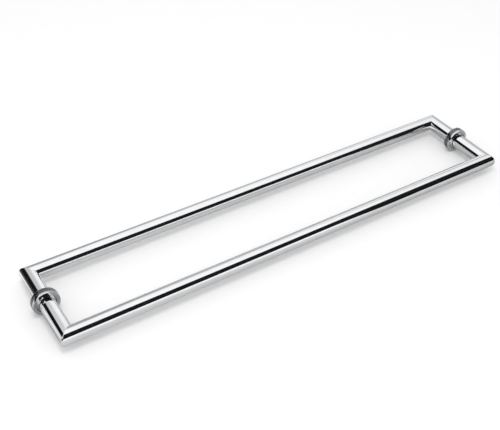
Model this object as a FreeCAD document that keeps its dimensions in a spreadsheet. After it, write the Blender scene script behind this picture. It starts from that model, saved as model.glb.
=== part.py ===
import FreeCAD, Part
import os
import Sketcher

# Double-sided towel bar for a glass shower screen, in millimetres.
# Two U-shaped handles of mitred round tube stand back to back. Their legs meet
# washer against washer at the clamp plane, where the glass panel goes.
# X runs along the rails, Y through the glass towards the rear rail, Z up.
# The origin is the centre of the loop.

doc = FreeCAD.newDocument("towel_bar")

# Driving dimensions
SIZES = [
    ("overall_length", "609.6", "end to end over the outer corners"),
    ("rail_spacing", "106.4", "front rail axis to rear rail axis"),
    ("clamp_offset", "4.7", "clamp plane behind the middle of the loop"),
    ("tube_dia", "19.05", "outside of the tube, rails and legs alike"),
    ("tube_wall", "1.25", "wall of the tube"),
    ("corner_round", "3", "outer corner of the loop, seen from above"),
    ("washer_brim", "4.75", "washer rim outside its seat, radially"),
    ("washer_thick", "4.1", "washer over its flat faces"),
    ("washer_edge", "0.2", "bevel on a washer's rim at the glass"),
    ("crown_fall", "0.45", "how far the rim's crown on the leg side falls"),
    ("crown_width", "1", "length of that crown along the axis"),
    ("seat_gap", "1.6", "room round the tube in the washer's seat"),
    ("seat_depth", "0.8", "depth of the seat that takes the leg's end"),
    ("seat_bevel", "0.45", "bevel at the mouth of the seat"),
    ("gasket_thick", "0.5", "clear gasket between washer and glass"),
    ("gasket_inset", "0.2", "gasket's rim inside the washer's rim"),
    ("stud_dia", "8", "threaded stud that ties the two handles"),
    ("stud_bevel", "0.8", "bevel on both ends of the stud"),
    ("stud_gap", "0.15", "slip clearance round the stud"),
    ("stud_end_gap", "1", "room past each end of the stud"),
    ("sleeve_wall", "1.85", "wall of the clear sleeve round the stud"),
    ("sleeve_gap", "0.2", "room round the sleeve in washers and gaskets"),
    ("tapped_reach", "10", "stud inside the front plug"),
    ("clamped_reach", "16", "stud inside the rear plug"),
    ("plug_floor", "3", "solid end of each plug behind its bore"),
    ("plug_bevel", "0.8", "lead-in bevel on the inner end of a plug"),
    ("screw_dia", "5", "set screw across its thread"),
    ("screw_place", "8", "set screw's axis from the end of the leg"),
    ("screw_sunk", "0.5", "set screw's end below the leg's surface"),
    ("screw_bevel", "0.6", "bevel round the tip of the set screw"),
    ("screw_room", "0.3", "room round the set screw in the leg's wall"),
    ("socket_across", "2.5", "hexagon socket of the set screw, across flats"),
    ("socket_depth", "2.2", "depth of the hexagon socket"),
    ("flat_depth", "0.8", "flat on the stud under the set screw"),
    ("flat_length", "8", "length of that flat along the stud"),
]

sheet = doc.addObject("Spreadsheet::Sheet", "Sizes")
for row, (alias, value, note) in enumerate(SIZES, start=1):
    sheet.set("A%d" % row, alias)
    sheet.set("B%d" % row, value)
    sheet.set("C%d" % row, note)
    sheet.setAlias("B%d" % row, alias)
doc.recompute()

# Sizes that follow from the driving ones, as formulas on the sheet
LEG_SPACING = "(Sizes.overall_length - Sizes.tube_dia)"
TUBE_R = "(Sizes.tube_dia / 2)"
BORE_R = "(Sizes.tube_dia / 2 - Sizes.tube_wall)"
SEAT_R = "(Sizes.tube_dia / 2 + Sizes.seat_gap)"
WASHER_R = "(%s + Sizes.washer_brim)" % SEAT_R
WASHER_TOP = "(Sizes.gasket_thick + Sizes.washer_thick)"
LEG_END = "(%s - Sizes.seat_depth)" % WASHER_TOP
STUD_R = "(Sizes.stud_dia / 2)"
SLIP_R = "(Sizes.stud_dia / 2 + Sizes.stud_gap)"
SLEEVE_R = "(%s + Sizes.sleeve_wall)" % SLIP_R
HOLE_R = "(%s + Sizes.sleeve_gap)" % SLEEVE_R
SCREW_Y = "(%s + Sizes.screw_place)" % LEG_END
SCREW_TIP = "(%s - Sizes.flat_depth)" % STUD_R
SCREW_LENGTH = "(%s - Sizes.screw_sunk - %s)" % (TUBE_R, SCREW_TIP)
# How far a cutting sketch runs past the metal it cuts
CLEAR = "(Sizes.tube_wall)"


def plane(body, role):
    """One of the body's own origin planes or axes."""
    return next(f for f in body.Origin.OriginFeatures if f.Role == role)


def new_body(name, side=0, row=0, at_clamp=True):
    """A named body. side is -1 left, 1 right; row is -1 front, 1 rear.
    Bodies at the clamp plane point their local +Y away from it."""
    body = doc.addObject("PartDesign::Body", name)
    body.Label = name
    turn = 180 if row < 0 else 0
    body.Placement = FreeCAD.Placement(
        FreeCAD.Vector(), FreeCAD.Rotation(FreeCAD.Vector(0, 0, 1), turn)
    )
    if side:
        body.setExpression("Placement.Base.x", "%d * %s / 2" % (side, LEG_SPACING))
    if at_clamp:
        body.setExpression("Placement.Base.y", "Sizes.clamp_offset")
    else:
        body.setExpression("Placement.Base.y", "%d * Sizes.rail_spacing / 2" % row)
    return body


def new_sketch(body, name, role, lift=None):
    """A sketch on an origin plane, lifted along the plane's normal."""
    sketch = body.newObject("Sketcher::SketchObject", body.Name + "_" + name)
    sketch.AttachmentSupport = [(plane(body, role), "")]
    sketch.MapMode = "FlatFace"
    if lift:
        sketch.setExpression("AttachmentOffset.Base.z", lift)
    return sketch


def pin(sketch, geo, point, x, y):
    """Hold one point of the sketch at two formulas."""
    for kind, formula in (("DistanceX", x), ("DistanceY", y)):
        value = float(sketch.evalExpression(formula))
        index = sketch.addConstraint(
            Sketcher.Constraint(kind, -1, 1, geo, point, value)
        )
        sketch.setExpression("Constraints[%d]" % index, formula)


def outline(body, name, role, corners, lift=None):
    """A closed outline through corners, each a pair of formulas."""
    sketch = new_sketch(body, name, role, lift)
    points = [
        FreeCAD.Vector(float(sketch.evalExpression(x)), float(sketch.evalExpression(y)), 0)
        for x, y in corners
    ]
    count = len(points)
    for i in range(count):
        sketch.addGeometry(Part.LineSegment(points[i], points[(i + 1) % count]), False)
    for i in range(count):
        sketch.addConstraint(Sketcher.Constraint("Coincident", i, 2, (i + 1) % count, 1))
    for i, (x, y) in enumerate(corners):
        pin(sketch, i, 1, x, y)
    return sketch


def circles(body, name, role, radii, y="0", lift=None):
    """Circles about one centre on the sketch's own Y axis."""
    sketch = new_sketch(body, name, role, lift)
    centre = FreeCAD.Vector(0, float(sketch.evalExpression(y)), 0)
    for geo, formula in enumerate(radii):
        radius = float(sketch.evalExpression(formula))
        sketch.addGeometry(Part.Circle(centre, FreeCAD.Vector(0, 0, 1), radius), False)
        pin(sketch, geo, 3, "0", y)
        index = sketch.addConstraint(Sketcher.Constraint("Radius", geo, radius))
        sketch.setExpression("Constraints[%d]" % index, formula)
    return sketch


def pad(body, sketch, length, both_ways=False, reverse=False):
    """Solid stretched from a sketch."""
    feature = body.newObject("PartDesign::Pad", sketch.Name + "_pad")
    feature.Profile = sketch
    feature.setExpression("Length", length)
    feature.SideType = "Symmetric" if both_ways else "One side"
    feature.Reversed = reverse
    return feature


def revolve(body, sketch, axis_role):
    """Solid turned from a sketch about one of the body's axes."""
    feature = body.newObject("PartDesign::Revolution", sketch.Name + "_turn")
    feature.Profile = sketch
    feature.ReferenceAxis = (plane(body, axis_role), [""])
    feature.Angle = 360
    return feature


def cut(body, sketch, both_ways=False, depth=None, reverse=False):
    """Pocket from a sketch: through everything, or to a depth."""
    before = body.Tip
    feature = body.newObject("PartDesign::Pocket", sketch.Name + "_cut")
    feature.Profile = sketch
    feature.SideType = "Symmetric" if both_ways else "One side"
    feature.Reversed = reverse
    if depth:
        feature.setExpression("Length", depth)
    else:
        feature.Type = "ThroughAll"
    doc.recompute()
    if not feature.Shape.Volume < before.Shape.Volume:
        raise RuntimeError(feature.Name + " cuts nothing")
    return feature


def ground_corner(body, name, role, lift, out, reverse):
    """Rounds the outer corner of a mitre: the tube's own outline, turned about an
    upright axis just inside the corner. out is where the outside is on the sketch."""
    sketch = new_sketch(body, name, role, lift)
    radius = float(sketch.evalExpression(TUBE_R))
    inset = "(%s - Sizes.corner_round)" % TUBE_R
    near = out * float(sketch.evalExpression(inset))
    far = out * (2 * radius - abs(near))
    rise = (radius ** 2 - near ** 2) ** 0.5
    bottom, middle, top, far_top, far_bottom = (
        FreeCAD.Vector(x, y, 0)
        for x, y in ((near, -rise), (out * radius, 0), (near, rise), (far, rise), (far, -rise))
    )
    arc = Part.Arc(bottom, middle, top) if out > 0 else Part.Arc(top, middle, bottom)
    start, end = (bottom, top) if out > 0 else (top, bottom)
    far_end, far_start = (far_top, far_bottom) if out > 0 else (far_bottom, far_top)
    sketch.addGeometry(arc, False)
    sketch.addGeometry(Part.LineSegment(end, far_end), False)
    sketch.addGeometry(Part.LineSegment(far_end, far_start), False)
    sketch.addGeometry(Part.LineSegment(far_start, start), False)
    sketch.addGeometry(Part.LineSegment(bottom, top), True)
    for i in range(4):
        sketch.addConstraint(Sketcher.Constraint("Coincident", i, 2, (i + 1) % 4, 1))
    first, last = (1, 2) if out > 0 else (2, 1)
    sketch.addConstraint(Sketcher.Constraint("Coincident", 4, 1, 0, first))
    sketch.addConstraint(Sketcher.Constraint("Coincident", 4, 2, 0, last))
    sketch.addConstraint(Sketcher.Constraint("Horizontal", 1))
    sketch.addConstraint(Sketcher.Constraint("Vertical", 2))
    sketch.addConstraint(Sketcher.Constraint("Horizontal", 3))
    pin(sketch, 0, 3, "0", "0")
    index = sketch.addConstraint(Sketcher.Constraint("Radius", 0, radius))
    sketch.setExpression("Constraints[%d]" % index, TUBE_R)
    across = (
        (0, 1, inset), (0, 2, inset), (1, 2, "(%s + Sizes.corner_round)" % TUBE_R),
    )
    for geo, point, formula in across:
        signed = "%d * %s" % (out, formula)
        value = float(sketch.evalExpression(signed))
        index = sketch.addConstraint(Sketcher.Constraint("DistanceX", -1, 1, geo, point, value))
        sketch.setExpression("Constraints[%d]" % index, signed)
    doc.recompute()
    before = body.Tip
    feature = body.newObject("PartDesign::Groove", sketch.Name + "_groove")
    feature.Profile = sketch
    feature.ReferenceAxis = (sketch, ["Axis0"])
    feature.Angle = 90
    feature.Reversed = reverse
    doc.recompute()
    if not feature.Shape.Volume < before.Shape.Volume:
        raise RuntimeError(feature.Name + " cuts nothing")
    return feature


def rail_tube(name, row):
    """Straight tube with both ends mitred at 45 degrees towards the loop."""
    body = new_body(name, row=row, at_clamp=False)
    section = circles(body, "section", "YZ_Plane", [TUBE_R, BORE_R])
    pad(body, section, "Sizes.overall_length", both_ways=True)
    doc.recompute()
    over = "(%s + %s)" % (TUBE_R, CLEAR)
    for end, tag in ((-1, "left"), (1, "right")):
        near = "%d * (%s / 2 - %s)" % (end, LEG_SPACING, over)
        far = "%d * (%s / 2 + %s)" % (end, LEG_SPACING, over)
        corners = [(near, "-" + over), (far, "-" + over), (far, over)]
        cut(body, outline(body, "mitre_" + tag, "XY_Plane", corners), both_ways=True)
        tip = "%d * (Sizes.overall_length / 2 - Sizes.corner_round)" % end
        ground_corner(body, "corner_" + tag, "YZ_Plane", tip, 1, end > 0)
    return body


def leg_tube(name, side, row):
    """Short tube from the washer's seat to the mitre with its rail."""
    body = new_body(name, side, row)
    axis = "(Sizes.rail_spacing / 2 - %d * Sizes.clamp_offset)" % row
    section = circles(body, "section", "XZ_Plane", [TUBE_R, BORE_R], lift="-" + LEG_END)
    pad(body, section, "%s + %s - %s" % (axis, TUBE_R, LEG_END), reverse=True)
    doc.recompute()
    over = "(%s + %s)" % (TUBE_R, CLEAR)
    inward = -side * row
    corners = [
        ("%d * %s" % (inward, over), "%s - %s" % (axis, over)),
        ("%d * %s" % (inward, over), "%s + %s" % (axis, over)),
        ("%d * %s" % (-inward, over), "%s + %s" % (axis, over)),
    ]
    cut(body, outline(body, "mitre", "XY_Plane", corners), both_ways=True)
    tip = "-(%s + %s - Sizes.corner_round)" % (axis, TUBE_R)
    ground_corner(body, "corner", "XZ_Plane", tip, -inward, inward > 0)
    if row > 0:
        wide = "Sizes.screw_dia / 2 + Sizes.screw_room"
        cut(body, circles(body, "screw_way", "XY_Plane", [wide], y=SCREW_Y))
    return body


def washer(name, side, row):
    """Turned washer: a crowned rim on the leg side, and a seat that centres the leg."""
    body = new_body(name, side, row)
    low = "Sizes.gasket_thick"
    corners = [
        (HOLE_R, low),
        (WASHER_R + " - Sizes.washer_edge", low),
        (WASHER_R, low + " + Sizes.washer_edge"),
        (WASHER_R, WASHER_TOP + " - Sizes.crown_width"),
        (WASHER_R + " - Sizes.crown_fall", WASHER_TOP),
        (SEAT_R + " + Sizes.seat_bevel", WASHER_TOP),
        (SEAT_R, WASHER_TOP + " - Sizes.seat_bevel"),
        (SEAT_R, LEG_END),
        (HOLE_R, LEG_END),
    ]
    revolve(body, outline(body, "section", "XY_Plane", corners), "Y_Axis")
    return body


def gasket(name, side, row):
    """Flat clear ring that keeps the washer off the glass."""
    body = new_body(name, side, row)
    radii = [WASHER_R + " - Sizes.gasket_inset", HOLE_R]
    section = circles(body, "section", "XZ_Plane", radii)
    pad(body, section, "Sizes.gasket_thick", reverse=True)
    return body


def plug(name, side, row, bore, reach):
    """Turned plug pressed into the end of a leg, flush with the tube."""
    body = new_body(name, side, row)
    floor = "%s + %s + Sizes.stud_end_gap" % (LEG_END, reach)
    top = floor + " + Sizes.plug_floor"
    corners = [
        (bore, LEG_END),
        (BORE_R, LEG_END),
        (BORE_R, top + " - Sizes.plug_bevel"),
        (BORE_R + " - Sizes.plug_bevel", top),
        ("0", top),
        ("0", floor),
        (bore, floor),
    ]
    revolve(body, outline(body, "section", "XY_Plane", corners), "Y_Axis")
    doc.recompute()
    if row > 0:
        tapping = circles(body, "screw_thread", "XY_Plane", ["Sizes.screw_dia / 2"], y=SCREW_Y)
        cut(body, tapping)
    return body


def stud(name, side):
    """Threaded rod from the front plug to the rear plug, with one flat."""
    body = new_body(name, side)
    front = "-(%s + Sizes.tapped_reach)" % LEG_END
    rear = "(%s + Sizes.clamped_reach)" % LEG_END
    neck = STUD_R + " - Sizes.stud_bevel"
    corners = [
        ("0", front),
        (neck, front),
        (STUD_R, front + " + Sizes.stud_bevel"),
        (STUD_R, rear + " - Sizes.stud_bevel"),
        (neck, rear),
        ("0", rear),
    ]
    revolve(body, outline(body, "section", "XY_Plane", corners), "Y_Axis")
    doc.recompute()
    below = "-%s - %s" % (STUD_R, CLEAR)
    start = "%s - Sizes.flat_length / 2" % SCREW_Y
    end = "%s + Sizes.flat_length / 2" % SCREW_Y
    seat = "-" + SCREW_TIP
    flat = [(start, below), (end, below), (end, seat), (start, seat)]
    cut(body, outline(body, "flat", "YZ_Plane", flat), both_ways=True)
    return body


def sleeve(name, side):
    """Clear tube that keeps the stud off the edge of the glass."""
    body = new_body(name, side)
    section = circles(body, "section", "XZ_Plane", [SLEEVE_R, SLIP_R])
    pad(body, section, "2 * " + LEG_END, both_ways=True)
    return body


def set_screw(name, side):
    """Headless screw that bears on the stud's flat from below."""
    body = new_body(name, side)
    body.Placement = FreeCAD.Placement(
        FreeCAD.Vector(), FreeCAD.Rotation(FreeCAD.Vector(1, 0, 0), 180)
    )
    body.setExpression("Placement.Base.y", "Sizes.clamp_offset + " + SCREW_Y)
    body.setExpression("Placement.Base.z", "-" + SCREW_TIP)
    radius = "(Sizes.screw_dia / 2)"
    corners = [
        ("0", "0"),
        (radius + " - Sizes.screw_bevel", "0"),
        (radius, "Sizes.screw_bevel"),
        (radius, SCREW_LENGTH),
        ("0", SCREW_LENGTH),
    ]
    revolve(body, outline(body, "section", "XZ_Plane", corners), "Z_Axis")
    doc.recompute()
    corner = "Sizes.socket_across / sqrt(3)"
    hexagon = [
        ("%s * cos(%d deg)" % (corner, turn), "%s * sin(%d deg)" % (corner, turn))
        for turn in range(0, 360, 60)
    ]
    socket = outline(body, "socket", "XY_Plane", hexagon, lift=SCREW_LENGTH)
    cut(body, socket, depth="Sizes.socket_depth")
    return body


ROWS = (("front", -1), ("rear", 1))
SIDES = (("left", -1), ("right", 1))

pieces = []
for row_name, row in ROWS:
    pieces.append(rail_tube(row_name + "_rail", row))
    for side_name, side in SIDES:
        place = row_name + "_" + side_name + "_"
        bore, reach = (STUD_R, "Sizes.tapped_reach") if row < 0 else (SLIP_R, "Sizes.clamped_reach")
        pieces.append(leg_tube(place + "leg", side, row))
        pieces.append(plug(place + "plug", side, row, bore, reach))
        pieces.append(washer(place + "washer", side, row))
        pieces.append(gasket(place + "gasket", side, row))
for side_name, side in SIDES:
    pieces.append(stud(side_name + "_stud", side))
    pieces.append(sleeve(side_name + "_sleeve", side))
    pieces.append(set_screw(side_name + "_set_screw", side))
doc.recompute()

for item in doc.Objects:
    if "Invalid" in item.State or "Error" in item.State:
        raise RuntimeError(item.Name + " failed to build")
for piece in pieces:
    if piece.Shape.isNull() or not piece.Shape.isValid() or len(piece.Shape.Solids) != 1:
        raise RuntimeError(piece.Label + " has no valid solid")

os.makedirs("parts", exist_ok=True)
for piece in pieces:
    piece.Shape.exportStep(os.path.join("parts", piece.Label + ".step"))
    box = piece.Shape.BoundBox
    print("%-20s %9.1f mm3  x %7.2f %7.2f  y %7.2f %7.2f  z %6.2f %6.2f" % (
        piece.Label, piece.Shape.Volume,
        box.XMin, box.XMax, box.YMin, box.YMax, box.ZMin, box.ZMax))
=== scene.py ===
import bmesh
import bpy
import math
from mathutils import Matrix, Vector


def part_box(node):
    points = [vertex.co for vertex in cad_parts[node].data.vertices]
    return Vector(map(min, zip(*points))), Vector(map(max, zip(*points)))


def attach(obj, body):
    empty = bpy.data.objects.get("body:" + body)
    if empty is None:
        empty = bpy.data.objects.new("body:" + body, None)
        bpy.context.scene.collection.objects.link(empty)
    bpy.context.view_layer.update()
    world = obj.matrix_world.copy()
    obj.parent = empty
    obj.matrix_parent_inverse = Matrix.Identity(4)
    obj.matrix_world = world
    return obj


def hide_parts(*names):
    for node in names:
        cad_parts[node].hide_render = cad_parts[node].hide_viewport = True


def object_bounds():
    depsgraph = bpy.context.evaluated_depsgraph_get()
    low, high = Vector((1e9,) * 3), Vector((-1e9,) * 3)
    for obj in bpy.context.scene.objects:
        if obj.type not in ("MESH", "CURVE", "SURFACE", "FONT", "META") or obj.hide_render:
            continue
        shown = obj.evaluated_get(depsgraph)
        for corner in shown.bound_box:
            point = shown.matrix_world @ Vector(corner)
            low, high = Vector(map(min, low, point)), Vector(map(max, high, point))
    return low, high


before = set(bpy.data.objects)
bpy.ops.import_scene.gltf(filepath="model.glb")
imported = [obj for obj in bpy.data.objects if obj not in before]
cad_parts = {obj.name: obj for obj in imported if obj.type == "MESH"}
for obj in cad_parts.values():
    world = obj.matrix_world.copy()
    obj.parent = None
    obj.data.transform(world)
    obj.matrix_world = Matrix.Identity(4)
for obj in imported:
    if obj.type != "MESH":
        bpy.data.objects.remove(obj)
cad_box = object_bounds()

# The tubes
# Two rails and four legs of round tube, cut at 45 degrees and welded. The welds are
# ground flush and the outer corners rounded off, so that only a fine line shows at each
# mitre. Nickel and chrome plated after welding, with a mirror polish.

ROWS = {"front": -1, "rear": 1}
SIDES = {"left": -1, "right": 1}
TUBE_WALL = 0.00125
MITRE_ANGLE = math.radians(45)
MITRE_EDGE = 0.00008

# How a turned piece is drawn: the reach of a mitre's slope from the end, the steps round
# the piece and round its fine edges, the sharpest bend that is shaded smooth, and how
# close together two corners are merged.
MITRE_REACH = 0.0025
STEPS_ROUND = 144
EDGE_STEPS = 3
SMOOTH_BELOW = math.radians(32)
MERGE_WITHIN = 1e-7

# The rounded corner bends the last stretch of a tube, its zone, ring by ring. The zone
# ends a little late, so that its last ring counts.
CORNER_ROUND = 0.003
CORNER_ZONE = 0.002
CORNER_ZONE_END = CORNER_ZONE * 1.01
CORNER_STEPS = 8

# A side of a turned piece leans on its axis by no more than this, and faces straight
# towards or away from it by at least this share, as a drilled hole's wall doesn't.
SIDE_LEAN = 0.02
SIDE_FACING = 0.9

# The hole for a set screw in the lower wall of a rear leg.
SCREW_ROOM = 0.0003
DRILL_STEPS = 48

# The plating. A texture is given by its features per metre, its detail and its stretch,
# and runs through its tones between two levels of the noise.
NOISE_SPAN = (0.3, 0.7)
CHROME_CLOUDS = (90, 3)
CHROME_TONES = ((0.86, 0.873, 0.893), (0.92, 0.93, 0.945))
POLISHING_LINES = (260, 4, (0.15, 1, 1))
POLISHING_DEPTH = 2e-7
CHROME_ROUGHNESS = (0.035, 0.075)

rail_low, rail_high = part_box("front_rail")
tube_radius = (rail_high.z - rail_low.z) / 2
rail_y = -(rail_low.y + rail_high.y) / 2
leg_low, leg_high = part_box("front_right_leg")
leg_x = (leg_low.x + leg_high.x) / 2


def feed(tree, node, inputs):
    """Sets a node's inputs, by name or number, to values or to other nodes' outputs."""
    for entry, value in inputs.items():
        if isinstance(value, bpy.types.NodeSocket):
            tree.links.new(value, node.inputs[entry])
        else:
            node.inputs[entry].default_value = value


def new_node(tree, kind, inputs=None, **options):
    """A new node with its options and its inputs set."""
    node = tree.nodes.new(kind)
    for option, value in options.items():
        setattr(node, option, value)
    feed(tree, node, inputs or {})
    return node


def calculate(tree, operation, *values):
    """One step of arithmetic on numbers or other nodes' outputs."""
    node = new_node(tree, "ShaderNodeMath", dict(enumerate(values)), operation=operation)
    return node.outputs["Value"]


def vector(tree, **parts):
    """A vector of its X, Y and Z. A part that isn't given is 0."""
    return new_node(tree, "ShaderNodeCombineXYZ", parts).outputs["Vector"]


def split(tree, whole):
    """The X, Y and Z of a vector, by name or in order."""
    return new_node(tree, "ShaderNodeSeparateXYZ", {"Vector": whole}).outputs


def turned_piece_tree():
    """A closed section, swept round the local Z axis. A slope leans one end over, as a
    mitre saw does: all within reach of that end moves along the axis by the slope times
    local X."""
    tree = bpy.data.node_groups.new("Turned piece", "GeometryNodeTree")
    for kind, labels in (
        ("Geometry", ("Section",)),
        ("Float", ("Pitch radius", "Edge radius", "Start", "End", "Start slope", "End slope")),
        ("Int", ("Steps round", "Edge steps")),
        ("Material", ("Finish",)),
    ):
        for label in labels:
            tree.interface.new_socket(label, in_out="INPUT", socket_type="NodeSocket" + kind)
    tree.interface.new_socket("Piece", in_out="OUTPUT", socket_type="NodeSocketGeometry")

    sizes = new_node(tree, "NodeGroupInput").outputs
    section = new_node(tree, "GeometryNodeMeshToCurve", {"Mesh": sizes["Section"]})
    rounded = new_node(tree, "GeometryNodeFilletCurve", {
        "Curve": section.outputs["Curve"], "Radius": sizes["Edge radius"],
        "Count": sizes["Edge steps"], "Limit Radius": True,
    }, mode="POLY")
    path = new_node(tree, "GeometryNodeCurvePrimitiveCircle", {
        "Radius": sizes["Pitch radius"], "Resolution": sizes["Steps round"],
    })
    sweep = new_node(tree, "GeometryNodeCurveToMesh", {
        "Curve": path.outputs["Curve"], "Profile Curve": rounded.outputs["Curve"],
    })

    spot = split(tree, new_node(tree, "GeometryNodeInputPosition").outputs["Position"])
    slope = 0
    for end, test in (("Start", "LESS_THAN"), ("End", "GREATER_THAN")):
        near = calculate(tree, test, spot["Z"], sizes[end])
        slope = calculate(tree, "MULTIPLY_ADD", near, sizes[end + " slope"], slope)
    mitre = new_node(tree, "GeometryNodeSetPosition", {
        "Geometry": sweep.outputs["Mesh"],
        "Offset": vector(tree, Z=calculate(tree, "MULTIPLY", slope, spot["X"])),
    })

    real = new_node(tree, "GeometryNodeRealizeInstances", {"Geometry": mitre.outputs["Geometry"]})
    finish = new_node(tree, "GeometryNodeSetMaterial", {
        "Geometry": real.outputs["Geometry"], "Material": sizes["Finish"],
    })
    new_node(tree, "NodeGroupOutput", {"Piece": finish.outputs["Geometry"]})
    return tree


TURNED = turned_piece_tree()


def settle(piece, modifier):
    """Makes what a modifier shows the piece's own plain mesh, and removes the modifier."""
    graph = bpy.context.evaluated_depsgraph_get()
    piece.data = bpy.data.meshes.new_from_object(piece.evaluated_get(graph), depsgraph=graph)
    piece.modifiers.remove(modifier)


def drill_below(piece, height, radius):
    """Drills a hole through the lower wall of a tube that lies along Y."""
    body = bmesh.new()
    bmesh.ops.create_cone(
        body, cap_ends=True, segments=DRILL_STEPS, radius1=radius, radius2=radius, depth=tube_radius,
        matrix=Matrix.Translation((0, tube_radius, height)) @ Matrix.Rotation(math.radians(90), 4, "X"),
    )
    mesh = bpy.data.meshes.new("drill")
    body.to_mesh(mesh)
    body.free()
    drill = bpy.data.objects.new("drill", mesh)
    bpy.context.scene.collection.objects.link(drill)
    cut = piece.modifiers.new("Hole", "BOOLEAN")
    cut.operation = "DIFFERENCE"
    cut.solver = "EXACT"
    cut.object = drill
    settle(piece, cut)
    bpy.data.objects.remove(drill)


def straight_sides(mesh):
    """The corners of all faces that run straight along the axis, and face it or away."""
    corners = []
    for face in mesh.polygons:
        away = Vector((face.center.x, face.center.y, 0)).normalized()
        if abs(face.normal.z) < SIDE_LEAN and abs(face.normal.dot(away)) > SIDE_FACING:
            corners += face.loop_indices
    return corners


def ground_corners(mesh, slopes, start, end):
    """Rounds the outer corner at each mitre, in plan, by a radius that dies out towards
    the top and the bottom. Gives back which way the moved corners face."""
    faced = {}
    for slope, centre, onward in ((slopes[0], start, -1), (slopes[1], end, 1)):
        if not slope:
            continue
        outer = slope * onward
        for vertex in mesh.vertices:
            x, y, z = vertex.co
            depth = (centre + slope * x - z) * onward
            size = math.hypot(x, y)
            across = outer * x / size
            if depth > CORNER_ZONE_END or size < tube_radius - TUBE_WALL / 2 or across <= 0:
                continue
            turn = MITRE_ANGLE * (1 - max(depth, 0) / CORNER_ZONE)
            # The blend grows with the cube of across, and fall is how fast it does.
            blend = CORNER_ROUND * across ** 3
            fall = 3 * CORNER_ROUND * across ** 2
            along, over = 1 - math.cos(turn), 1 - math.sin(turn)
            vertex.co.x = outer * (size * across - blend * along)
            vertex.co.z = centre + onward * (size * across - blend * over)
            rise = (size - fall * over) * math.sin(turn) + (size - fall * along) * math.cos(turn)
            faced[vertex.index] = Vector((
                outer * size * across * math.cos(turn), y / size * rise,
                onward * size * across * math.sin(turn),
            )).normalized()
    mesh.update()
    return faced


def true_sides(mesh, sides, faced):
    """Shades straight sides and rounded corners true, whatever edge they end in."""
    shading = [corner.vector.copy() for corner in mesh.corner_normals]
    for loop in sides:
        index = mesh.loops[loop].vertex_index
        spot = mesh.vertices[index].co
        out = Vector((spot.x, spot.y, 0)).normalized()
        if shading[loop].dot(out) < 0:
            out = -out
        shading[loop] = faced.get(index, out)
    mesh.normals_split_custom_set(shading)


def turned(name, section, finish, place, edge=MITRE_EDGE, slopes=(0, 0), hole=None):
    """A turned piece as a plain mesh. section is a ring of (radius, height) corners.
    Ends with a slope are mitred, and their outer corners rounded. A hole from below is
    given by its height and radius."""
    pitch = sum(radius for radius, height in section) / len(section)
    heights = [height for radius, height in section]
    start, end = min(heights), max(heights)
    corners = [(radius - pitch, -height, 0) for radius, height in section]
    rim = [(i, (i + 1) % len(section)) for i in range(len(section))]
    mesh = bpy.data.meshes.new(name)
    mesh.from_pydata(corners, rim, [])
    piece = bpy.data.objects.new(name, mesh)
    bpy.context.scene.collection.objects.link(piece)
    modifier = piece.modifiers.new("Turned", "NODES")
    modifier.node_group = TURNED
    values = {
        "Pitch radius": pitch, "Edge radius": edge, "Start": start + MITRE_REACH,
        "End": end - MITRE_REACH, "Start slope": float(slopes[0]), "End slope": float(slopes[1]),
        "Steps round": STEPS_ROUND, "Edge steps": EDGE_STEPS, "Finish": finish,
    }
    for socket in TURNED.interface.items_tree:
        if socket.name in values:
            modifier[socket.identifier] = values[socket.name]
    settle(piece, modifier)
    if hole:
        drill_below(piece, *hole)
    piece.data.name = name
    merged = bmesh.new()
    merged.from_mesh(piece.data)
    bmesh.ops.remove_doubles(merged, verts=merged.verts, dist=MERGE_WITHIN)
    bmesh.ops.recalc_face_normals(merged, faces=merged.faces)
    merged.to_mesh(piece.data)
    merged.free()
    piece.data.shade_smooth()
    piece.data.set_sharp_from_angle(angle=SMOOTH_BELOW)
    sides = straight_sides(piece.data)
    true_sides(piece.data, sides, ground_corners(piece.data, slopes, start, end))
    piece.data.transform(place)
    return piece


def tube_wall(start, end, slopes):
    """The section of a tube's wall, with rings by each mitre for the rounded corner."""
    bore = tube_radius - TUBE_WALL
    rings = [CORNER_ZONE * k / CORNER_STEPS for k in range(CORNER_STEPS + 1)]
    near_start = [start + ring for ring in rings] if slopes[0] else [start]
    near_end = [end - ring for ring in reversed(rings)] if slopes[1] else [end]
    outside = [(tube_radius, height) for height in near_start + near_end]
    return [(bore, start)] + outside + [(bore, end)]


def screw_hole(side_name):
    """Height and radius of the hole for a set screw, from the screw's own box."""
    low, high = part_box(side_name + "_set_screw")
    radius = (high.y - low.y) / 2
    return low.y + radius, radius + SCREW_ROOM


def axes(x, y, z, at):
    """A matrix that points the local axes these ways, at this place."""
    turn = Matrix((x, y, z)).transposed().to_4x4()
    return Matrix.Translation(at) @ turn


def along_x(y):
    """The matrix that lays a turned piece along X, at this Y."""
    return axes((0, 1, 0), (0, 0, 1), (1, 0, 0), (0, y, 0))


def along_y(x):
    """The matrix that lays a turned piece along Y, at this X, its local Y downwards."""
    return axes((1, 0, 0), (0, 0, -1), (0, 1, 0), (x, 0, 0))


def new_material(name, settings):
    """A new material, with its shader set, its tree and the object's coordinates."""
    material = bpy.data.materials.new(name)
    material.use_nodes = True
    tree = material.node_tree
    shader = tree.nodes["Principled BSDF"]
    feed(tree, shader, settings)
    space = new_node(tree, "ShaderNodeTexCoord").outputs
    return material, tree, shader, space


def noise(tree, space, scale, detail, stretch=(1, 1, 1)):
    """Noise in the object's own space, in features per metre, stretched along an axis."""
    place = new_node(tree, "ShaderNodeMapping", {"Vector": space["Object"], "Scale": stretch})
    texture = new_node(tree, "ShaderNodeTexNoise", {
        "Vector": place.outputs["Vector"], "Scale": scale, "Detail": detail,
    })
    return texture.outputs["Fac"]


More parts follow.
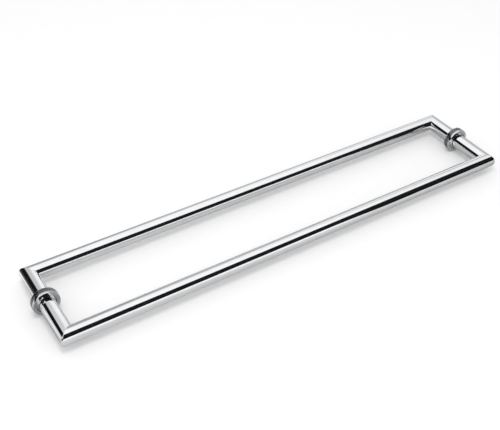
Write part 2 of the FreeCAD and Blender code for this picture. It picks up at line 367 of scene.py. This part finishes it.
def graded(tree, value, start, end, low=0, high=1, smooth=False):
    """From low at start to high at end, level beyond, and straight or smooth between."""
    node = new_node(tree, "ShaderNodeMapRange", {
        "Value": value, "From Min": start, "From Max": end, "To Min": low, "To Max": high,
    }, interpolation_type="SMOOTHSTEP" if smooth else "LINEAR")
    return node.outputs["Result"]


def tones(tree, source, dark, light):
    """A colour that follows a texture, from dark to light."""
    ramp = new_node(tree, "ShaderNodeValToRGB", {"Fac": source})
    for stop, position, colour in zip(ramp.color_ramp.elements, NOISE_SPAN, (dark, light)):
        stop.position = position
        stop.color = (*colour, 1)
    return ramp.outputs["Color"]


def relief(tree, source, depth):
    """Bump of a real depth in metres."""
    bump = new_node(tree, "ShaderNodeBump", {"Strength": 1, "Distance": depth, "Height": source})
    return bump.outputs["Normal"]


def chrome_plate():
    """Mirror-polished chrome: faint cloudiness, and polishing lines along the tube."""
    material, tree, shader, space = new_material("polished chrome", {"Metallic": 1})
    wiped = noise(tree, space, *POLISHING_LINES)
    feed(tree, shader, {
        "Base Color": tones(tree, noise(tree, space, *CHROME_CLOUDS), *CHROME_TONES),
        "Roughness": graded(tree, wiped, *NOISE_SPAN, *CHROME_ROUGHNESS),
        "Normal": relief(tree, wiped, POLISHING_DEPTH),
    })
    return material


CHROME = chrome_plate()

for row_name, row in ROWS.items():
    slopes = (-row, row)
    wall = tube_wall(-leg_x, leg_x, slopes)
    rail = turned(row_name + "_rail_tube", wall, CHROME, along_x(row * rail_y), slopes=slopes)
    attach(rail, "root")
    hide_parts(row_name + "_rail")
    for side_name, side in SIDES.items():
        node = "%s_%s_leg" % (row_name, side_name)
        low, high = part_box(node)
        if row < 0:
            ends, slopes, hole = (-rail_y, high.y), (side * row, 0), None
        else:
            ends, slopes, hole = (low.y, rail_y), (0, side * row), screw_hole(side_name)
        wall = tube_wall(*ends, slopes)
        leg = turned(node + "_tube", wall, CHROME, along_y(side * leg_x), slopes=slopes, hole=hole)
        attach(leg, "root")
        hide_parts(node)

# The washers
# Four washers, turned from bar and plated, one on the end of each leg. A shallow seat
# with a bevelled mouth centres the tube, and the rim is crowned on the leg side. Their
# colour holds painted shade: the faces and the crown are painted bright and the rim
# darker, by which way they face, and a thin dark brown line of painted shade runs round
# each seat's mouth.

HOLE_RADIUS = 0.0062
SEAT_ROOM = 0.0016
SEAT_RADIUS = tube_radius + SEAT_ROOM
SEAT_DEPTH = 0.0008
SEAT_BEVEL = 0.00012
RIM_BEVEL = 0.0001
TURNED_EDGE = 0.00006

# The crown falls away from the rim to the face on the leg side. Its corners are shares
# of its fall, and of the width that is still left to the face.
CROWN_FALL = 0.00045
CROWN_WIDTH = 0.003
CROWN_CURVE = ((0, 1), (0.11, 0.67), (0.44, 0.33), (1, 0))

# The plating's tone by which way it faces, from -1 to the front to 1 to the rear: painted
# shade, with the rim painted darker than the faces and the crown.
PLATE_TONES_WITH_PAINTED_SHADE = (
    (-1, 0.78), (-0.95, 0.78), (-0.3, 0.72), (-0.07, 0.66), (-0.015, 0.2),
    (0.05, 0.2), (0.3, 0.4), (0.95, 0.78),
)
PLATE_TINT = (1, 1.012, 1.035)
PLATE_CLOUDS = (160, 4)
PLATE_WEAR = (0.95, 1.04)
# A thin dark brown line of painted shade round the mouth of each seat, and its width.
SEAT_PAINTED_SHADE = (0.1, 0.07, 0.055, 1)
SEAT_PAINTED_SHADE_WIDTH = 0.0003

# Roughness from the rim, at the first facing, to the flat face, at the second, and what
# the turning marks add to it.
PLATE_ROUGHNESS = (0.1, 0.6, 0.08, 0.03)
TURNING_MARKS = (900, 3, (1, 6, 1))
MARKS_ROUGHNESS = 0.02
MARKS_DEPTH = 1e-7


def length(tree, whole):
    """How long a vector is."""
    return new_node(tree, "ShaderNodeVectorMath", {0: whole}, operation="LENGTH").outputs["Value"]


def scaled(tree, colour, share):
    """A colour made darker or lighter."""
    inputs = {"Vector": colour, "Scale": share}
    return new_node(tree, "ShaderNodeVectorMath", inputs, operation="SCALE").outputs["Vector"]


def mixed_colours(tree, share, under, over):
    """A colour over another. A Mix node has a set of sockets for every kind of value, and
    only their identifiers tell them apart."""
    node = new_node(tree, "ShaderNodeMix", data_type="RGBA")
    sockets = {socket.identifier: socket for socket in (*node.inputs, *node.outputs)}
    tree.links.new(share, sockets["Factor_Float"])
    tree.links.new(under, sockets["A_Color"])
    sockets["B_Color"].default_value = over
    return sockets["Result_Color"]


def plate_colour_with_painted_shade(tree, space, facing):
    """The plating's tone with painted shade by which way it faces, and faintly cloudy."""
    ramp = new_node(tree, "ShaderNodeValToRGB", {"Fac": graded(tree, facing, -1, 1)})
    stops = ramp.color_ramp.elements
    while len(stops) < len(PLATE_TONES_WITH_PAINTED_SHADE):
        stops.new(0.5)
    for stop, (faces, level) in zip(stops, PLATE_TONES_WITH_PAINTED_SHADE):
        stop.position = (faces + 1) / 2
        stop.color = (*(level * tint for tint in PLATE_TINT), 1)
    wear = graded(tree, noise(tree, space, *PLATE_CLOUDS), 0, 1, *PLATE_WEAR)
    return scaled(tree, ramp.outputs["Color"], wear)


def painted_shade_at_seat(tree, space):
    """1 in a thin ring round the mouth of a seat, where shade is painted, and 0 elsewhere."""
    place = split(tree, space["Object"])
    aside = calculate(tree, "SUBTRACT", calculate(tree, "ABSOLUTE", place["X"]), leg_x)
    from_axis = length(tree, vector(tree, X=aside, Z=place["Z"]))
    return calculate(tree, "COMPARE", from_axis, SEAT_RADIUS, SEAT_PAINTED_SHADE_WIDTH)


def turned_plate():
    """Plated turned metal: polished faces, and fine turning marks round the axis. The
    colour holds painted shade, by which way it faces and round each seat's mouth.
    """
    material, tree, shader, space = new_material("turned chrome", {"Metallic": 1})
    facing = split(tree, space["Normal"])["Y"]
    # The plating's tone with painted shade by facing: the rim is painted darker.
    plain = plate_colour_with_painted_shade(tree, space, facing)
    rough = graded(tree, calculate(tree, "ABSOLUTE", facing), *PLATE_ROUGHNESS)
    marks = noise(tree, space, *TURNING_MARKS)
    feed(tree, shader, {
        # The painted shade line round each seat's mouth is mixed over the plating's tone.
        "Base Color": mixed_colours(tree, painted_shade_at_seat(tree, space), plain, SEAT_PAINTED_SHADE),
        "Roughness": calculate(tree, "MULTIPLY_ADD", marks, MARKS_ROUGHNESS, rough),
        "Normal": relief(tree, marks, MARKS_DEPTH),
    })
    return material


TURNED_CHROME = turned_plate()

for row_name, row in ROWS.items():
    for side_name, side in SIDES.items():
        node = "%s_%s_washer" % (row_name, side_name)
        low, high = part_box(node)
        rim = (high.z - low.z) / 2
        glass_side, leg_side = (high.y, low.y) if row < 0 else (low.y, high.y)
        crown = [
            (rim - CROWN_FALL * fallen, leg_side - row * CROWN_WIDTH * left)
            for fallen, left in CROWN_CURVE
        ]
        section = [
            (HOLE_RADIUS, glass_side),
            (rim - RIM_BEVEL, glass_side),
            (rim, glass_side + row * RIM_BEVEL),
            *crown,
            (SEAT_RADIUS + SEAT_BEVEL, leg_side),
            (SEAT_RADIUS, leg_side - row * SEAT_BEVEL),
            (SEAT_RADIUS, leg_side - row * SEAT_DEPTH),
            (HOLE_RADIUS, leg_side - row * SEAT_DEPTH),
        ]
        washer = turned(node + "_turned", section, TURNED_CHROME, along_y(side * leg_x), TURNED_EDGE)
        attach(washer, "root")
        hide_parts(node)

# The gaskets and the sleeves
# Thin rings of clear soft plastic between the washers and the glass, and clear sleeves
# that keep the studs off the edge of the glass. Only the gaskets' rims show.

GASKET_EDGE = 0.00012
SLEEVE_BORE = 0.00415
VINYL = {"Transmission Weight": 0.9, "IOR": 1.5}
VINYL_CLOUDS = (400, 3)
VINYL_TONES = ((0.74, 0.76, 0.76), (0.88, 0.9, 0.9))
VINYL_ROUGHNESS = (0.12, 0.24)
VINYL_DEPTH = 2e-6


def clear_plastic():
    """Clear vinyl, faintly cloudy, with a moulded surface."""
    material, tree, shader, space = new_material("clear vinyl", VINYL)
    clouds = noise(tree, space, *VINYL_CLOUDS)
    feed(tree, shader, {
        "Base Color": tones(tree, clouds, *VINYL_TONES),
        "Roughness": graded(tree, clouds, *NOISE_SPAN, *VINYL_ROUGHNESS),
        "Normal": relief(tree, clouds, VINYL_DEPTH),
    })
    return material


CLEAR_VINYL = clear_plastic()

for side_name, side in SIDES.items():
    gaskets = ["%s_%s_gasket" % (row_name, side_name) for row_name in ROWS]
    for node in gaskets + [side_name + "_sleeve"]:
        low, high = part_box(node)
        rim = (high.z - low.z) / 2
        bore = HOLE_RADIUS if node in gaskets else SLEEVE_BORE
        section = [(bore, low.y), (rim, low.y), (rim, high.y), (bore, high.y)]
        ring = turned(node + "_clear", section, CLEAR_VINYL, along_y(side * leg_x), GASKET_EDGE)
        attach(ring, "root")
        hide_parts(node)

# The plugs
# Brass plugs pressed into the ends of the legs. The front ones are tapped for the stud,
# and the rear ones slip over it. They keep the lathe's rings, and dull a little.

BRASS_CLOUDS = (220, 4)
BRASS_TONES = ((0.56, 0.4, 0.19), (0.76, 0.58, 0.3))
BRASS_ROUGHNESS = (0.2, 0.38)
LATHE_RINGS = (500, 3, (1, 9, 1))
LATHE_DEPTH = 4e-6


def turned_brass():
    """Brass as the lathe leaves it, with rings round the axis."""
    material, tree, shader, space = new_material("turned brass", {"Metallic": 1})
    rings = noise(tree, space, *LATHE_RINGS)
    feed(tree, shader, {
        "Base Color": tones(tree, noise(tree, space, *BRASS_CLOUDS), *BRASS_TONES),
        "Roughness": graded(tree, rings, *NOISE_SPAN, *BRASS_ROUGHNESS),
        "Normal": relief(tree, rings, LATHE_DEPTH),
    })
    return material


def dress(node, finish):
    """Puts a finish on a piece that keeps its shape from the frame."""
    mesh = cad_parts[node].data
    mesh.materials.clear()
    mesh.materials.append(finish)


BRASS = turned_brass()

for row_name in ROWS:
    for side_name in SIDES:
        dress("%s_%s_plug" % (row_name, side_name), BRASS)

# The studs and the set screws
# Zinc-plated steel studs, threaded all along, with a flat for the set screw. The set
# screws are headless, with a hexagon socket, and hold the rear handle from below.

THREAD_PITCH = 0.00125
SCREW_PITCH = 0.0008
THREAD_DEPTH_SHARE = 1 / 3
STEEL_CLOUDS = (300, 4)
STEEL_TONES = ((0.42, 0.43, 0.45), (0.58, 0.59, 0.6))
STEEL_ROUGHNESS = (0.24, 0.4)

# How far apart the ridges of a wave texture of scale 1 are.
WAVE_PITCH = math.pi / 10


def threaded_steel(name, axis, pitch):
    """Plated steel with the ridges of a thread, along an axis."""
    material, tree, shader, space = new_material(name, {"Metallic": 1})
    clouds = noise(tree, space, *STEEL_CLOUDS)
    ridges = new_node(tree, "ShaderNodeTexWave", {
        "Vector": space["Object"], "Scale": WAVE_PITCH / pitch,
    }, bands_direction=axis, wave_profile="TRI")
    feed(tree, shader, {
        "Base Color": tones(tree, clouds, *STEEL_TONES),
        "Roughness": graded(tree, clouds, *NOISE_SPAN, *STEEL_ROUGHNESS),
        "Normal": relief(tree, ridges.outputs["Fac"], pitch * THREAD_DEPTH_SHARE),
    })
    return material


STUD_STEEL = threaded_steel("stud steel", "Y", THREAD_PITCH)
SCREW_STEEL = threaded_steel("set screw steel", "Z", SCREW_PITCH)

for side_name in SIDES:
    dress(side_name + "_stud", STUD_STEEL)
    dress(side_name + "_set_screw", SCREW_STEEL)

# The studio
# A pale floor that the washers stand on, a soft overhead light, two black cards that
# only the metal sees, and surroundings that are white above and dark along the horizon,
# as round a photographer's table.

FLOOR_HALF = 6.0
FLOOR_WHITE = 0.92
FLOOR_PAINT = {"Roughness": 0.9, "Specular IOR Level": 0}
FLOOR_GRAIN = (40, 3)
FLOOR_GRAIN_TONE = 0.02

# The floor glows faintly, and far off a little more: from nothing at the first distance
# to this much at the second.
FLOOR_GLOW = 0.13
FAR_GLOW = (0.8, 2.2, 0, 0.2)

# How white the metal sees the floor: a painted reflection, greyer than the floor itself,
# with painted shade and painted light by place. Each holds two places, in metres, and the
# tone at each. The first is the tone itself, from the ends of the loop outwards, and the
# others are added to it. Round each foot and right of the loop the tone is painted shade;
# outside, behind and far left of the loop it is painted light.
PAST_ENDS = (0, 0.02, 0.5, 0.56)
PAINTED_SHADE_ROUND_FOOT = (0.028, 0.042, -0.12, 0)
OUTSIDE_LOOP = (0, 0.13, 0, 0.1)
FAR_LEFT = (-0.45, -0.9, 0, 0.15)
BEHIND_LOOP = (0, 0.025, 0, 0.3)
RIGHT_OF_LOOP = (-0.005, 0.012, 0, -0.17)

# In the metal, the floor beside the rails has painted shade that gets darker to the right,
# and behind the front rail its left part has painted shade too. Each of these tones goes
# with one or two shares of 0 to 1.
PAINTED_SHADE_TO_THE_RIGHT = (-0.25, 0.25, 0, -0.2)
BESIDE_RAIL = (0.012, 0.045, 1, 0)
PAINTED_SHADE_LEFT_PART = (0.05, 0.2, -0.17, 0)
BEHIND_FRONT_RAIL = (-0.05, -0.045, 0, 1)
BEFORE_MIDDLE = (-0.02, 0.01, 1, 0)

# Well within the loop the floor is painted white, a painted reflection, where it is
# mirrored twice, which is where the Glossy Depth of a ray is greater than one mirror's.
WITHIN_ENDS = (-0.05, -0.03, 1, 0)
ONE_MIRROR = 1.5


def product(tree, first, *others):
    """All the numbers multiplied."""
    for other in others:
        first = calculate(tree, "MULTIPLY", first, other)
    return first


def floor_painted_in_metal(tree, place, ray):
    """How white the metal sees the floor: a painted reflection, greyer than the eye sees it,
    with painted shade and painted light by place.
    """
    x, y = place["X"], place["Y"]
    edge_x, edge_y = cad_box[1][:2]
    off_x, off_y = calculate(tree, "ABSOLUTE", x), calculate(tree, "ABSOLUTE", y)
    past_ends = calculate(tree, "SUBTRACT", off_x, edge_x)
    past_rails = calculate(tree, "SUBTRACT", off_y, edge_y)
    outside = calculate(tree, "MAXIMUM", past_ends, past_rails)
    from_foot = length(tree, vector(tree, X=calculate(tree, "SUBTRACT", off_x, leg_x), Y=y))
    from_rail = calculate(tree, "ABSOLUTE", calculate(tree, "SUBTRACT", off_y, rail_y))
    past_rear = calculate(tree, "SUBTRACT", y, edge_y)
    past_right = calculate(tree, "SUBTRACT", x, edge_x)
    tone = graded(tree, past_ends, *PAST_ENDS)
    # Painted shade round the feet, beside and behind the rails and right of the loop, and painted light
    # outside it.
    for added in (
        product(tree, graded(tree, from_rail, *BESIDE_RAIL), graded(tree, x, *PAINTED_SHADE_TO_THE_RIGHT)),
        product(tree, graded(tree, y, *BEFORE_MIDDLE), graded(tree, y, *BEHIND_FRONT_RAIL),
                graded(tree, x, *PAINTED_SHADE_LEFT_PART)),
        graded(tree, from_foot, *PAINTED_SHADE_ROUND_FOOT),
        graded(tree, outside, *OUTSIDE_LOOP),
        graded(tree, past_rear, *BEHIND_LOOP),
        graded(tree, x, *FAR_LEFT),
        graded(tree, past_right, *RIGHT_OF_LOOP),
    ):
        tone = calculate(tree, "ADD", tone, added)
    twice = calculate(tree, "GREATER_THAN", ray["Glossy Depth"], ONE_MIRROR)
    lift = product(tree, graded(tree, past_ends, *WITHIN_ENDS), twice)
    return calculate(tree, "MINIMUM", calculate(tree, "ADD", tone, lift), FLOOR_WHITE)


def floor_glow(tree, space, ray):
    """A faint glow, for the camera, the metal and clear pieces alike, that lifts the
    floor to white away from the shadows. Far off the camera sees a little more of it."""
    through = calculate(tree, "ADD", ray["Is Glossy Ray"], ray["Is Transmission Ray"])
    seen = calculate(tree, "MAXIMUM", ray["Is Camera Ray"], through)
    near = product(tree, seen, FLOOR_GLOW)
    far = graded(tree, length(tree, space["Object"]), *FAR_GLOW)
    strength = calculate(tree, "MULTIPLY_ADD", far, ray["Is Camera Ray"], near)
    return new_node(tree, "ShaderNodeEmission", {"Strength": strength}).outputs["Emission"]


def floor_paint():
    """Pale floor. The metal sees it as a painted reflection, greyer than to the eye."""
    material, tree, shader, space = new_material("floor", FLOOR_PAINT)
    ray = new_node(tree, "ShaderNodeLightPath").outputs
    mirrored = floor_painted_in_metal(tree, split(tree, space["Object"]), ray)
    # In reflections the floor takes its painted tone, with painted shade and painted light.
    white = graded(tree, ray["Is Glossy Ray"], 0, 1, FLOOR_WHITE, mirrored)
    grain = noise(tree, space, *FLOOR_GRAIN)
    tone = calculate(tree, "MULTIPLY_ADD", grain, FLOOR_GRAIN_TONE, white)
    feed(tree, shader, {"Base Color": tone})
    lit = {0: shader.outputs["BSDF"], 1: floor_glow(tree, space, ray)}
    both = new_node(tree, "ShaderNodeAddShader", lit).outputs["Shader"]
    feed(tree, tree.nodes["Material Output"], {"Surface": both})
    return material


floor_mesh = bpy.data.meshes.new("floor")
floor_z = cad_box[0][2]
floor_mesh.from_pydata(
    [(x * FLOOR_HALF, y * FLOOR_HALF, floor_z) for x, y in ((-1, -1), (1, -1), (1, 1), (-1, 1))],
    [], [(0, 1, 2, 3)],
)
floor_mesh.materials.append(floor_paint())
floor = bpy.data.objects.new("floor", floor_mesh)
bpy.context.scene.collection.objects.link(floor)

# The left card stands on the floor, with its near edge slanted back. The front card hangs
# clear of the floor, with its top edge given as (x, z) corners from right to left. The
# paint is paler towards the floor: two heights, and how many times as pale it is there.
CARD_PAINT = {"Roughness": 0.8, "Specular IOR Level": 0}
CARD_GRAIN = (300, 2)
CARD_TONES = ((0.008, 0.0078, 0.0075), (0.018, 0.0175, 0.017))
CARD_PALER = (0.03, -0.013, 1, 13)
LEFT_CARD_X = -0.37
LEFT_CARD_Y = (0.05, 0.4)
LEFT_CARD_SLANT = 0.05
LEFT_CARD_TOP = 0.06
FRONT_CARD_Y = -0.165
FRONT_CARD_BOTTOM = 0.046
FRONT_CARD_TOP = (
    (0.6, 0.4), (0.41, 0.4), (0.25, 0.378), (0.1, 0.366), (-0.19, 0.39), (-0.36, 0.39),
    (-0.36, 0.15), (-0.46, 0.125),
)


def card_paint():
    """Black card, paler towards the floor."""
    material, tree, shader, space = new_material("black card", CARD_PAINT)
    black = tones(tree, noise(tree, space, *CARD_GRAIN), *CARD_TONES)
    paler = graded(tree, split(tree, space["Object"])["Z"], *CARD_PALER)
    feed(tree, shader, {"Base Color": scaled(tree, black, paler)})
    return material


BLACK_CARD = card_paint()


def black_card(name, corners):
    """A flat black card that only the metal mirrors."""
    mesh = bpy.data.meshes.new(name)
    mesh.from_pydata(corners, [], [range(len(corners))])
    mesh.materials.append(BLACK_CARD)
    card = bpy.data.objects.new(name, mesh)
    bpy.context.scene.collection.objects.link(card)
    for kind in ("camera", "diffuse", "shadow", "transmission"):
        setattr(card, "visible_" + kind, False)


near, far = LEFT_CARD_Y
left_card = [
    (near, floor_z), (far, floor_z), (far, LEFT_CARD_TOP), (near + LEFT_CARD_SLANT, LEFT_CARD_TOP),
]
black_card("left_black_card", [(LEFT_CARD_X, y, z) for y, z in left_card])
front_foot = [(FRONT_CARD_TOP[end][0], FRONT_CARD_BOTTOM) for end in (-1, 0)]
black_card("front_black_card", [(x, FRONT_CARD_Y, z) for x, z in front_foot + list(FRONT_CARD_TOP)])

# The surroundings, as the metal sees them. A direction has a height, from 0 on the
# horizon to 1 overhead, and bears west, east and south by shares of -1 to 1. A region is
# a list of limits: the measure, where along it the region begins, and where it is full.
# Other pairs are where a change begins and ends, and with two more, the tone at each.
SKY = (0.4, 0.9, 0.47, 1.01)
LEFT_WINDOW = (("west", 0.3, 0.5), ("height", 0.5, 0.72))
RIGHT_WINDOW = (("off_arc", 0.12, 0.05), ("height", 0.78, 0.48))
WINDOW_TONE = 0.98
SHADY_BACK = (("off_back", 0.42, 0.28), ("height", 0.815, 0.745))
BACK_TONE = 0.72

# The right window leans: its bearing from north, in radians, is 0.8 on the horizon and
# falls with the square of the height. The shady back lies a little left of north.
ARC_BEND = -0.6
ARC_BEARING = 0.8
BACK_OFF_NORTH = 0.03

# The dark left of the room, the white gap high up in it, and the dark low on the right
# in front, below a line that rises to the south.
LEFT_DARK = (("west", 0.26, 0.38), ("height", 0.69, 0.63))
FRONT_RISE = 2.3
FRONT = (("below_front", -0.08, 0.08),)
FRONT_DARK = FRONT + (("height", 0.42, 0.32), ("west", -0.3, -0.45))
WHITE_GAP = (
    ("height", 0.44, 0.52), ("west", 0.3, 0.5), ("south", -0.48, -0.38), ("south", 0.74, 0.66),
)

# A bright strip runs along the horizon under the dark. Each part of it is a region, and
# how high its top is there. On the left the top slopes with how far west it bears.
STRIPS = (
    ((("south", 0.835, 0.865),), 0.5),
    ((("east", 0.66, 0.71), ("south", 0.3, 0.5)), 0.28),
    ((("west", 0.66, 0.71), ("south", 0.3, 0.5)), 0.2),
)
SIDE_STRIP = (("west", 0.3, 0.45), ("south", -0.02, -0.2))
SIDE_STRIP_SLOPE = -0.72
SIDE_STRIP_TOP = 0.71
OVER_STRIP = (0.02, 0.06)
UNDER_DARK = (0.3, 0.7)
STRIP_TONE = (0.3, 0.5, 1, 0.67)
STRIP_FAR_LEFT = (0.76, 0.84, 0, 0.2)

# What even the dark parts shine, more of it above, how much brighter the room is where
# it is mirrored twice, and how bright where a matt surface lies between it and the eye.
GLIMMER = (0.3, 0.9, 0.001, 0.021)
TWICE_MIRRORED = 1.1
BEHIND_MATT = 0.1
NO_MATT = 0.5

# Keeps the bearing of a direction straight up from being divided by nothing.
NOT_ZERO = 1e-6

# The light on the floor: an even dome, and a soft lamp overhead.
WHITE = (1, 1, 1, 1)
DOME_LIGHT = 0.79
LAMP_SIZE = (0.5, 0.46)
LAMP_POWER = 5.5
LAMP_PLACE = Vector((-0.3, -0.27, 1.5))


def measures(tree):
    """The measures of a ray's direction that the regions' limits name."""
    x, y, height = split(tree, new_node(tree, "ShaderNodeTexCoord").outputs["Generated"])
    squares = calculate(tree, "ADD", product(tree, y, y), NOT_ZERO)
    level = calculate(tree, "SQRT", calculate(tree, "ADD", product(tree, x, x), squares))
    west = calculate(tree, "DIVIDE", product(tree, x, -1), level)
    south = calculate(tree, "DIVIDE", product(tree, y, -1), level)
    front_top = product(tree, south, level, FRONT_RISE)
    bearing = calculate(tree, "ARCTAN2", x, y)
    arc = calculate(tree, "MULTIPLY_ADD", product(tree, height, height), ARC_BEND, ARC_BEARING)
    off_arc = calculate(tree, "ABSOLUTE", calculate(tree, "SUBTRACT", bearing, arc))
    off_back = calculate(tree, "ABSOLUTE", calculate(tree, "ADD", bearing, BACK_OFF_NORTH))
    return {
        "height": height, "west": west, "east": product(tree, west, -1), "south": south,
        "below_front": calculate(tree, "SUBTRACT", front_top, height),
        "off_arc": off_arc, "off_back": off_back,
    }


def region(tree, measured, limits):
    """1 where all limits of a region are met, 0 outside it, and smooth between."""
    return product(tree, *(
        graded(tree, measured[name], begins, full, smooth=True) for name, begins, full in limits
    ))


def opposite(tree, share):
    """What a share leaves of 1. It is 0 where the share is full."""
    return calculate(tree, "SUBTRACT", 1, share)


def sky_tone(tree, measured):
    """White above and grey towards the horizon, with a shady back and two windows."""
    sky = graded(tree, measured["height"], *SKY, smooth=True)
    shady = region(tree, measured, SHADY_BACK)
    sky = product(tree, sky, graded(tree, shady, 0, 1, 1, BACK_TONE))
    windows = (region(tree, measured, window) for window in (LEFT_WINDOW, RIGHT_WINDOW))
    return graded(tree, calculate(tree, "MAXIMUM", *windows), 0, 1, sky, WINDOW_TONE)


def strip_top(tree, measured):
    """The height of the bright strip's top. It is 0 where there is no strip."""
    slope = calculate(tree, "MULTIPLY_ADD", measured["west"], SIDE_STRIP_SLOPE, SIDE_STRIP_TOP)
    top = product(tree, region(tree, measured, SIDE_STRIP), slope)
    for limits, height in STRIPS:
        here = product(tree, region(tree, measured, limits), height)
        top = calculate(tree, "MAXIMUM", top, here)
    return top


def room_tone(tree, measured):
    """The sky, the dark parts before it, and the bright strip under them."""
    front, front_dark, left_dark, white_gap = (
        region(tree, measured, limits) for limits in (FRONT, FRONT_DARK, LEFT_DARK, WHITE_GAP)
    )
    above = calculate(tree, "SUBTRACT", measured["height"], strip_top(tree, measured))
    over_strip = graded(tree, above, *OVER_STRIP, smooth=True)
    darkest = calculate(tree, "MAXIMUM", front_dark, left_dark)
    dark = product(tree, darkest, opposite(tree, white_gap), over_strip)
    either = calculate(tree, "MAXIMUM", front, left_dark)
    strip = product(tree, opposite(tree, over_strip), graded(tree, either, *UNDER_DARK, smooth=True))
    west_tones = (
        graded(tree, measured["west"], *tone, smooth=True) for tone in (STRIP_TONE, STRIP_FAR_LEFT)
    )
    strip = product(tree, strip, calculate(tree, "ADD", *west_tones))
    sky = product(tree, sky_tone(tree, measured), opposite(tree, dark))
    room = calculate(tree, "MAXIMUM", sky, strip)
    return calculate(tree, "ADD", room, graded(tree, measured["height"], *GLIMMER, smooth=True))


def room_in_metal(tree, ray):
    """How bright the metal sees the room."""
    twice = calculate(tree, "GREATER_THAN", ray["Glossy Depth"], ONE_MIRROR)
    clear = calculate(tree, "LESS_THAN", ray["Diffuse Depth"], NO_MATT)
    return product(
        tree, room_tone(tree, measures(tree)),
        graded(tree, twice, 0, 1, 1, TWICE_MIRRORED), graded(tree, clear, 0, 1, BEHIND_MATT, 1),
    )


def background(tree, strength):
    """A plain white background of this strength."""
    node = new_node(tree, "ShaderNodeBackground", {"Color": WHITE, "Strength": strength})
    return node.outputs["Background"]


def chosen(tree, test, without, within):
    """One shader, or the other where a test holds."""
    node = new_node(tree, "ShaderNodeMixShader", {0: test, 1: without, 2: within})
    return node.outputs["Shader"]


world = bpy.data.worlds.new("studio")
bpy.context.scene.world = world
world.use_nodes = True
world_tree = world.node_tree
world_tree.nodes.clear()
ray = new_node(world_tree, "ShaderNodeLightPath").outputs
mirror = background(world_tree, room_in_metal(world_tree, ray))
dome = chosen(world_tree, ray["Is Glossy Ray"], background(world_tree, DOME_LIGHT), mirror)
seen = chosen(world_tree, ray["Is Camera Ray"], dome, background(world_tree, 1))
new_node(world_tree, "ShaderNodeOutputWorld", {"Surface": seen})

lamp_data = bpy.data.lights.new("overhead", "AREA")
lamp_data.shape = "RECTANGLE"
lamp_data.size, lamp_data.size_y = LAMP_SIZE
lamp_data.energy = LAMP_POWER
lamp = bpy.data.objects.new("overhead", lamp_data)
lamp.location = LAMP_PLACE
lamp.rotation_euler = LAMP_PLACE.to_track_quat("Z", "Y").to_euler()
lamp.visible_glossy = False
bpy.context.scene.collection.objects.link(lamp)

# The camera
# It looks down on the bar from the front left, as the tubes' outlines show: turn, tilt
# and roll in degrees, metres to the plane of the bar's centre, and what share of that
# the centre lies right of and below the middle of the view.

CAMERA_TURN = -32.983
CAMERA_TILT = 39.954
CAMERA_ROLL = 1.175
CAMERA_DISTANCE = 1.0286
CENTRE_RIGHT = 0.03169
CENTRE_BELOW = -0.00277
FOCAL_PIXELS = 845.93
VIEW_WIDTH_PIXELS = 500
SENSOR_WIDTH_MM = 36
NEAREST_SEEN = 0.05

turn, tilt, roll = (math.radians(v) for v in (CAMERA_TURN, CAMERA_TILT, CAMERA_ROLL))
back = Vector((
    math.sin(turn) * math.cos(tilt), -math.cos(turn) * math.cos(tilt), math.sin(tilt)
))
right = back.cross(Vector((0, 0, -1))).normalized()
down = right.cross(back)
leant_right = math.cos(roll) * right - math.sin(roll) * down
leant_down = math.sin(roll) * right + math.cos(roll) * down
camera_data = bpy.data.cameras.new("camera")
camera_data.sensor_width = SENSOR_WIDTH_MM
camera_data.lens = FOCAL_PIXELS * SENSOR_WIDTH_MM / VIEW_WIDTH_PIXELS
camera_data.clip_start = NEAREST_SEEN
camera = bpy.data.objects.new("camera", camera_data)
spot = CAMERA_DISTANCE * (back - CENTRE_RIGHT * leant_right - CENTRE_BELOW * leant_down)
camera.matrix_world = axes(leant_right, -leant_down, back, spot)
bpy.context.scene.collection.objects.link(camera)
bpy.context.scene.camera = camera
bpy.context.scene.view_settings.view_transform = "Standard"
